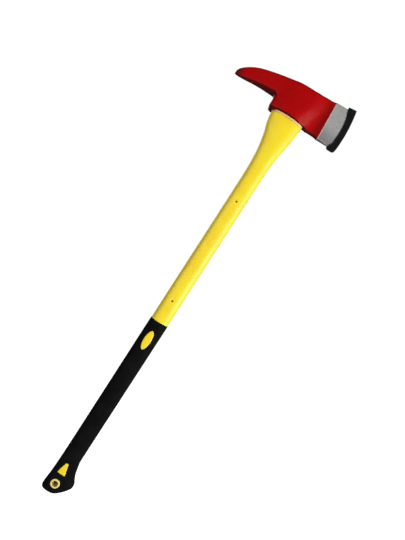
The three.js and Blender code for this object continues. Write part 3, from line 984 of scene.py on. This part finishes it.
RED = (0.375, 0.0028, 0.0034, 1)
BRIGHT_RED = (0.42, 0.0036, 0.0044, 1)
BEVEL_BAND_RED = (0.17, 0.0035, 0.0035, 1)
SHADED_RED = (0.03, 0.003, 0.003, 1)
TOP_SHADE_RED = (0.09, 0.006, 0.01, 1)
TIP_SHADE_RED = (0.03, 0.005, 0.006, 1)
STEEL = (0.4, 0.406, 0.396, 1)
PALE_STEEL = (0.59, 0.596, 0.582, 1)
CLOUDED_STEEL = (0.34, 0.338, 0.326, 1)
TOE_STEEL = (0.17, 0.172, 0.168, 1)
PAINT_MIST = (0.86, 0.5, 0.48, 1)
YELLOW = (0.95, 0.74, 0.011, 1)
DEEP_YELLOW = (0.94, 0.68, 0.008, 1)
GRIP_BLACK = (0.0022, 0.0022, 0.0026, 1)
GRIP_GREY = (0.0045, 0.0045, 0.005, 1)
GUARD_BLACK = (0.005, 0.0048, 0.005, 1)
GUARD_GREY = (0.008, 0.0076, 0.008, 1)
BUSHING = (0.84, 0.74, 0.27, 1)
BUSHING_DARK = (0.76, 0.66, 0.2, 1)
BORE_SHADE = (0.42, 0.26, 0.01, 1)
SEAL = (0.8, 0.46, 0.2, 1)
SEAL_PALE = (0.9, 0.57, 0.27, 1)
RESIN = (0.45, 0.25, 0.06, 1)
RESIN_PALE = (0.62, 0.4, 0.13, 1)
FIBRE = (0.4, 0.25, 0.05, 1)
FIBRE_PALE = (0.7, 0.48, 0.12, 1)
FLOOR_GREY = (0.48, 0.48, 0.48, 1)
FLOOR_PALE = (0.52, 0.52, 0.52, 1)


class Shade:
    """A node material: a Principled shader and what feeds it, in metres."""

    def __init__(self, name):
        self.material = bpy.data.materials.new(name)
        self.material.use_nodes = True
        self.tree = self.material.node_tree
        self.shader = self.tree.nodes["Principled BSDF"]
        self.place = self.node("TexCoord").outputs["Object"]

    def feed(self, socket, value):
        """Links an output to a socket, or sets the socket to a plain value."""
        if isinstance(value, bpy.types.NodeSocket):
            self.tree.links.new(value, socket)
        else:
            socket.default_value = value

    def node(self, kind, **inputs):
        made = self.tree.nodes.new("ShaderNode" + kind)
        for name, value in inputs.items():
            self.feed(made.inputs[name.replace("_", " ")], value)
        return made

    def maths(self, operation, a, b=0.0):
        made = self.node("Math")
        made.operation = operation
        self.feed(made.inputs[0], a)
        self.feed(made.inputs[1], b)
        return made.outputs[0]

    def noise(self, scale, detail, stretch=None, roughness=0.5):
        place = self.place
        if stretch:
            place = self.node("Mapping", Vector=place, Scale=stretch).outputs[0]
        made = self.node("TexNoise", Vector=place, Scale=scale, Detail=detail, Roughness=roughness)
        return made.outputs["Fac"]

    def ramp(self, value, low, high, to_low=0.0, to_high=1.0):
        """Takes a value smoothly from to_low at low to to_high at high."""
        made = self.node("MapRange", Value=value, From_Min=low, From_Max=high)
        made.interpolation_type = "SMOOTHSTEP"
        self.feed(made.inputs["To Min"], to_low)
        self.feed(made.inputs["To Max"], to_high)
        return made.outputs[0]

    def mix(self, share, a, b, kind="RGBA"):
        """Takes a colour, or with VECTOR a normal, from a to b."""
        made = self.node("Mix")
        made.data_type = kind
        first, result = {"RGBA": (6, 2), "VECTOR": (4, 1)}[kind]
        self.feed(made.inputs[0], share)
        self.feed(made.inputs[first], a)
        self.feed(made.inputs[first + 1], b)
        return made.outputs[result]

    def axes(self):
        return self.node("SeparateXYZ", Vector=self.place).outputs

    def bump(self, height, distance, strength, below=None):
        made = self.node("Bump", Height=height, Distance=distance, Strength=strength)
        if below is not None:
            self.feed(made.inputs["Normal"], below)
        return made.outputs[0]

    def surface(self, colour, rough, **others):
        """Feeds the shader. Returns the finished material."""
        for name, value in {"Base_Color": colour, "Roughness": rough, **others}.items():
            self.feed(self.shader.inputs[name.replace("_", " ")], value)
        return self.material


def past_paint_line(shade):
    """How far a place lies ahead of the enamel's edge, which wanders a little."""
    x, _, z = shade.axes()
    leaned = shade.maths("ADD", x, shade.maths("MULTIPLY", z, -BEVEL_LEAN))
    line = shade.maths("SUBTRACT", leaned, BEVEL_X * MM)
    wander = shade.maths("MULTIPLY", shade.maths("SUBTRACT", shade.noise(300, 3), 0.5), 0.0012)
    return shade.maths("ADD", line, wander)


def enamel_colour(shade, past):
    """Red, darker towards the bevel, with painted shade on top, underneath and towards the pick's tip.
    """
    red = shade.mix(shade.noise(38, 3), RED, BRIGHT_RED)
    # Darker over the last 26 mm of enamel before the bevel.
    nearing_bevel = shade.ramp(past, -0.026, -0.001, 0.0, 0.8)
    red = shade.mix(nearing_bevel, red, BEVEL_BAND_RED)
    normal = shade.node("NewGeometry").outputs["Normal"]
    up = shade.node("SeparateXYZ", Vector=normal).outputs["Z"]
    patchy = shade.maths("ADD", up, shade.maths("MULTIPLY", shade.noise(60, 3), 0.12))
    shaded = shade.maths("MULTIPLY", shade.ramp(patchy, 0.02, -0.75), 0.85)
    red = shade.mix(shaded, red, SHADED_RED)
    # Painted shade: enamel facing up is darkened, standing in for dark top edges.
    painted_top_shade = shade.ramp(up, 0.2, 0.8, 0.0, 0.75)
    red = shade.mix(painted_top_shade, red, TOP_SHADE_RED)
    # Painted shade: the enamel darkens to near black towards the pick's tip.
    wear_and_tip_shade = shade.ramp(shade.axes()["X"], (TIP_X + 20) * MM, (TIP_X + 1) * MM, 0.0, 0.85)
    return shade.mix(wear_and_tip_shade, red, TIP_SHADE_RED)


def steel_colour(shade, past, grind):
    """Ground steel, cloudy, darker towards the toe and misted with paint beside the enamel."""
    steel = shade.mix(grind, STEEL, PALE_STEEL)
    cloud = shade.ramp(shade.noise(240, 4), 0.35, 0.8, 0.0, 0.5)
    steel = shade.mix(cloud, steel, CLOUDED_STEEL)
    toe = shade.ramp(shade.axes()["Z"], 0.036, 0.0, 0.0, 0.66)
    steel = shade.mix(toe, steel, TOE_STEEL)
    mist = shade.ramp(past, 0.0028, 0.0004, 0.0, 0.75)
    return shade.mix(mist, steel, PAINT_MIST)


def enamel_and_steel():
    """Red enamel up to the ground bevel, where the steel is bare."""
    shade = Shade("red_enamel_and_ground_steel")
    past = past_paint_line(shade)
    bare = shade.ramp(past, -0.0003, 0.0004)
    grind = shade.noise(1.0, 4, (60, 400, 2600), 0.6)
    forged = shade.bump(shade.noise(55, 3), 0.0004, 0.35)
    enamel_bump = shade.bump(shade.noise(420, 2), 0.00006, 0.5, forged)
    steel_bump = shade.bump(grind, 0.00004, 0.6)
    film_edge = shade.bump(shade.maths("SUBTRACT", 1.0, bare), 0.00012, 0.8, steel_bump)
    enamel_rough = shade.ramp(shade.noise(70, 3), 0.3, 0.7, 0.22, 0.3)
    steel_rough = shade.ramp(grind, 0.3, 0.7, 0.42, 0.58)
    return shade.surface(
        shade.mix(bare, enamel_colour(shade, past), steel_colour(shade, past, grind)),
        shade.mix(bare, enamel_rough, steel_rough),
        Specular_IOR_Level=0.045,
        Metallic=shade.maths("MULTIPLY", bare, 0.68),
        Normal=shade.mix(bare, enamel_bump, film_edge, "VECTOR"),
    )


def rubber(name, dark, pale, roughness, grain):
    """Matt black rubber with a moulded stipple."""
    shade = Shade(name)
    colour = shade.mix(shade.ramp(shade.noise(45, 4), 0.35, 0.75), dark, pale)
    wear_and_tip_shade = shade.noise(120, 3)
    bump = shade.bump(shade.noise(grain, 2), 0.00012, 0.6, shade.bump(wear_and_tip_shade, 0.0002, 0.2))
    rough = shade.ramp(wear_and_tip_shade, 0.3, 0.7, roughness - 0.07, roughness + 0.07)
    return shade.surface(colour, rough, Normal=bump, Specular_IOR_Level=0.07)


def yellow_plastic():
    """Moulded plastic with faint flow marks along the handle and a satin skin."""
    shade = Shade("yellow_moulded_plastic")
    cloud = shade.noise(26, 3)
    tint = shade.mix(shade.ramp(cloud, 0.35, 0.7), YELLOW, DEEP_YELLOW)
    scuff = shade.noise(1.0, 3, (240, 240, 40), 0.6)
    scuffed = shade.ramp(scuff, 0.4, 0.7, 0.42, 0.47)
    rough = shade.maths("ADD", scuffed, shade.ramp(cloud, 0.3, 0.7, 0.0, 0.05))
    flow = shade.noise(1.0, 3, (160, 160, 9))
    bump = shade.bump(flow, 0.00008, 0.08, shade.bump(shade.noise(1100, 2), 0.00002, 0.12))
    return shade.surface(tint, rough, Normal=bump, Specular_IOR_Level=0.6)


def bushing_plastic():
    """Pale plastic, with painted shade down the bore."""
    shade = Shade("pale_bushing_plastic")
    x, _, z = shade.axes()
    height = shade.maths("SUBTRACT", z, RING_Z * MM)
    square = shade.maths("ADD", shade.maths("MULTIPLY", x, x), shade.maths("MULTIPLY", height, height))
    radius = shade.maths("SQRT", square)
    wander = shade.maths("MULTIPLY", shade.noise(500, 3), 0.0006)
    out = shade.maths("ADD", radius, wander)
    # Painted shade: the plastic turns dark olive down the bore.
    clear_of_bore_shade = shade.ramp(out, (RING_BORE - 0.1) * MM, (RING_BORE + 1.3) * MM)
    tint = shade.mix(clear_of_bore_shade, BORE_SHADE, shade.mix(shade.noise(120, 3), BUSHING, BUSHING_DARK))
    rough = shade.ramp(clear_of_bore_shade, 0.0, 1.0, 0.75, 0.38)
    bump = shade.bump(shade.noise(420, 3), 0.00008, 0.5)
    return shade.surface(tint, rough, Normal=bump)


def seal_compound():
    """Cream compound, left rough."""
    shade = Shade("cream_sealing_bead")
    tint = shade.mix(shade.noise(160, 3), SEAL, SEAL_PALE)
    bump = shade.bump(shade.noise(260, 3), 0.0003, 0.4)
    return shade.surface(tint, 0.55, Normal=bump)


def cast_resin():
    """Amber resin with small bubbles under a glossy top."""
    shade = Shade("amber_casting_resin")
    tint = shade.mix(shade.noise(90, 4), RESIN, RESIN_PALE)
    bubbles = shade.node("TexVoronoi", Vector=shade.place, Scale=420.0).outputs["Distance"]
    bump = shade.bump(shade.ramp(bubbles, 0.05, 0.2), 0.0002, 0.3)
    return shade.surface(tint, 0.22, Normal=bump)


def glass_fibre():
    """Brown rod with long pale strands."""
    shade = Shade("pultruded_glass_fibre")
    strands = shade.noise(1.0, 4, (900, 900, 12), 0.6)
    tint = shade.mix(strands, FIBRE, FIBRE_PALE)
    return shade.surface(tint, 0.5, Normal=shade.bump(strands, 0.0001, 0.5))


def pale_floor():
    """White paper that glows to the camera only, so that it looks evenly lit."""
    shade = Shade("pale_floor")
    tint = shade.mix(shade.noise(3, 2), FLOOR_GREY, FLOOR_PALE)
    seen = shade.node("LightPath").outputs["Is Camera Ray"]
    return shade.surface(tint, 0.9, Emission_Color=(1, 1, 1, 1), Emission_Strength=seen)


# Build


def paint(piece, material):
    piece.data.materials.clear()
    piece.data.materials.append(material)


def place(piece, body, node, slot, material):
    """Hangs a piece on its body, in place of its CAD node."""
    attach(piece, body)
    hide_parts(node)
    paint(piece, material)


grip_black = rubber("grip_rubber_stipple", GRIP_BLACK, GRIP_GREY, 0.72, 900)
guard_black = rubber("guard_rubber", GUARD_BLACK, GUARD_GREY, 0.6, 600)

place(head_forging(), "axe", "axe_head", "head_enamel", enamel_and_steel())
place(blade_guard(), "guard", "blade_guard", "guard_rubber", guard_black)
place(handle_jacket(), "axe", "handle_jacket", "jacket_plastic", yellow_plastic())
place(grip_sleeve(), "axe", "grip_sleeve", "grip_rubber", grip_black)
place(hang_bushing(), "axe", "hang_hole_bushing", "bushing_plastic", bushing_plastic())
place(eye_seal(), "axe", "eye_seal", "seal_compound", seal_compound())
place(eye_resin(), "axe", "eye_resin", "eye_resin", cast_resin())
paint(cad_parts["handle_core"], glass_fibre())


# Scene

# Metres from here on
CAMERA_PLACE = Vector((0.0157, -0.76, -0.3276))
CAMERA_ROLL = math.radians(32.75)
CAMERA_LENS = 26.72
FLOOR_DROP = 0.6
FLOOR_RADII = [0.001, 1, 2, 4, 8, 16]
AMBIENT = 0.05
LAMP_TARGET = Vector((0, 0, -0.35))
# name, place, width, height, power in watts
LAMPS = [
    ("key", (2.3, -1.93, -0.2), 0.75, 1.4, 86),
    ("fill", (-1.85, -2.4, 0.0), 2.4, 1.8, 33),
    ("rim", (1.9, 0.7, -0.2), 1.5, 1.8, 9),
    ("behind", (-1.5, 1.9, 0.8), 3.2, 2.6, 32),
]


def make_floor():
    """A wide pale disc below the hanging axe."""
    radius = np.array(FLOOR_RADII)[:, None] / MM
    turn = even_turns(64)
    height = (cad_low.z - FLOOR_DROP) / MM
    points = xyz(radius * np.cos(turn), radius * np.sin(turn), height)
    skin = Skin()
    skin.cap(skin.grid(points)[0])
    floor = skin.make("floor", 35)
    paint(floor, pale_floor())


def make_lamp(name, place, width, height, power):
    data = bpy.data.lights.new(name, "AREA")
    data.shape = "RECTANGLE"
    data.size, data.size_y = width, height
    data.energy = power
    lamp = add_object(name, data)
    lamp.location = place
    lamp.rotation_euler = (LAMP_TARGET - Vector(place)).to_track_quat("-Z", "Y").to_euler()


def make_world():
    """A surround that is white to the camera but lights the axe only faintly."""
    world = bpy.data.worlds.new("studio")
    bpy.context.scene.world = world
    world.use_nodes = True
    nodes, link = world.node_tree.nodes, world.node_tree.links.new
    blend = nodes.new("ShaderNodeMixShader")
    link(nodes.new("ShaderNodeLightPath").outputs["Is Camera Ray"], blend.inputs[0])
    for socket, strength in zip(blend.inputs[1:], (AMBIENT, 1)):
        white = nodes.new("ShaderNodeBackground")
        white.inputs["Color"].default_value = (1, 1, 1, 1)
        white.inputs["Strength"].default_value = strength
        link(white.outputs[0], socket)
    link(blend.outputs[0], nodes["World Output"].inputs["Surface"])


def make_camera():
    """A camera that looks along +Y, rolled so that the axe leans."""
    data = bpy.data.cameras.new("camera")
    data.lens = CAMERA_LENS
    camera = add_object("camera", data)
    right = Vector((math.cos(CAMERA_ROLL), 0, math.sin(CAMERA_ROLL)))
    up = Vector((-math.sin(CAMERA_ROLL), 0, math.cos(CAMERA_ROLL)))
    turned = Matrix((right, up, Vector((0, -1, 0)))).transposed().to_4x4()
    turned.translation = CAMERA_PLACE
    camera.matrix_world = turned
    bpy.context.scene.camera = camera


make_floor()
make_world()
make_camera()
for lamp in LAMPS:
    make_lamp(*lamp)
bpy.context.scene.view_settings.view_transform = "Standard"
